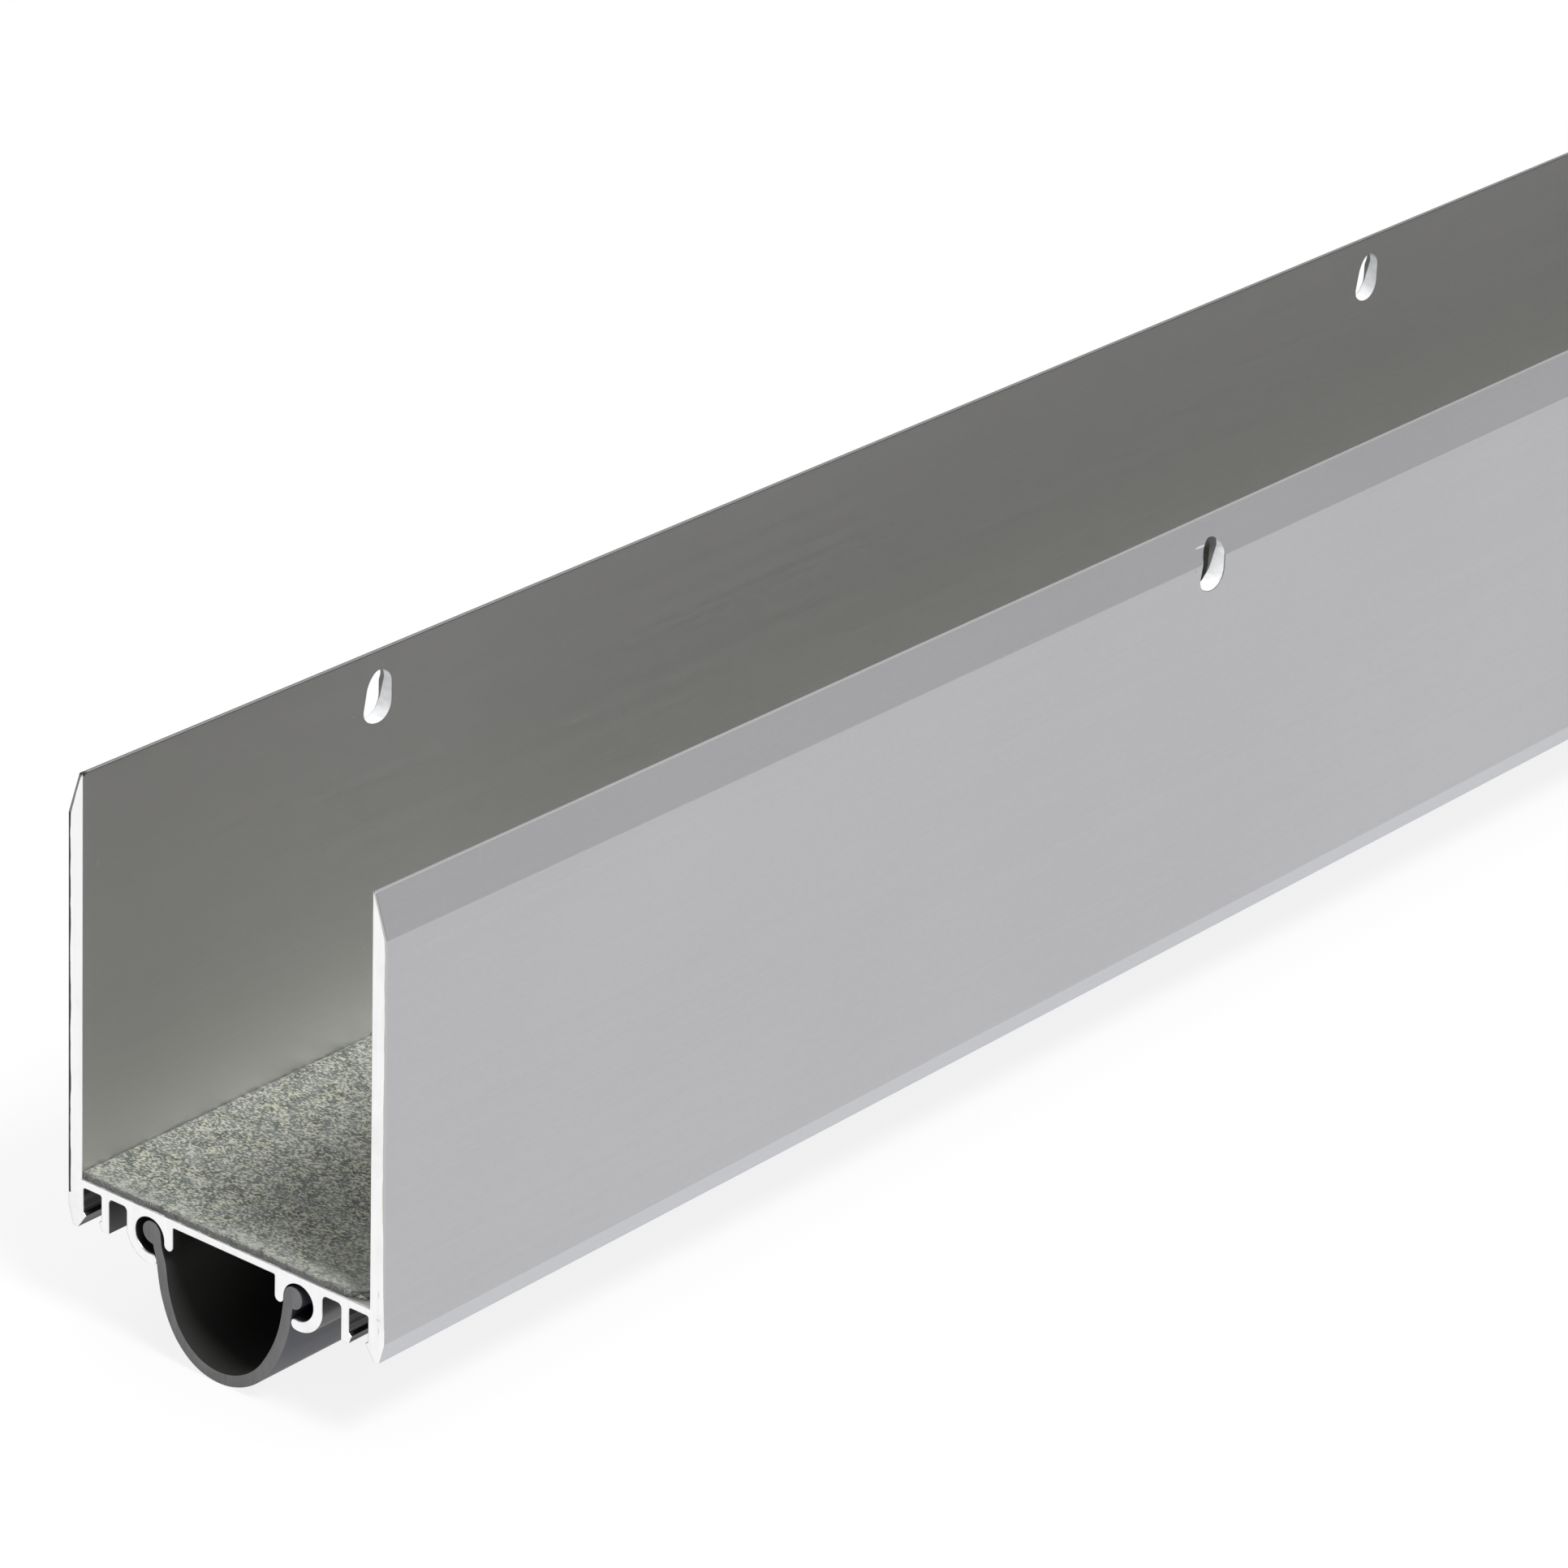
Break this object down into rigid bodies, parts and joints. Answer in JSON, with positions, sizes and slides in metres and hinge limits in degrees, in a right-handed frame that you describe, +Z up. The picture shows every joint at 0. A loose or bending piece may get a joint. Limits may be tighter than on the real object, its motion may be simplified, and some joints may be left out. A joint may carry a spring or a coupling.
{
  "type": "screw-in door gap seal",
  "caption": "U-shaped aluminium door shoe with upright screw slots, a looped vinyl sweep under its web and a felt strip inside.",
  "frame": {"origin": "on the felt at the middle of the seat, where the middle of the door's bottom edge stands", "axes": "+X through the door's thickness towards the front wall with four slots, +Y along the door's bottom edge, +Z up into the door"},
  "size_m": [0.0498, 0.9144, 0.0704],
  "materials": {
    "anodised_aluminium": "satin clear anodised, saw cut at the ends",
    "grey_vinyl": "soft matte grey vinyl",
    "speckled_felt": "coarse felt of mixed grey, green and beige fibres"
  },
  "bodies": {
    "root": {"channel": "anodised_aluminium", "vinyl_insert": "grey_vinyl", "felt_strip": "speckled_felt"}
  },
  "joints": []
}
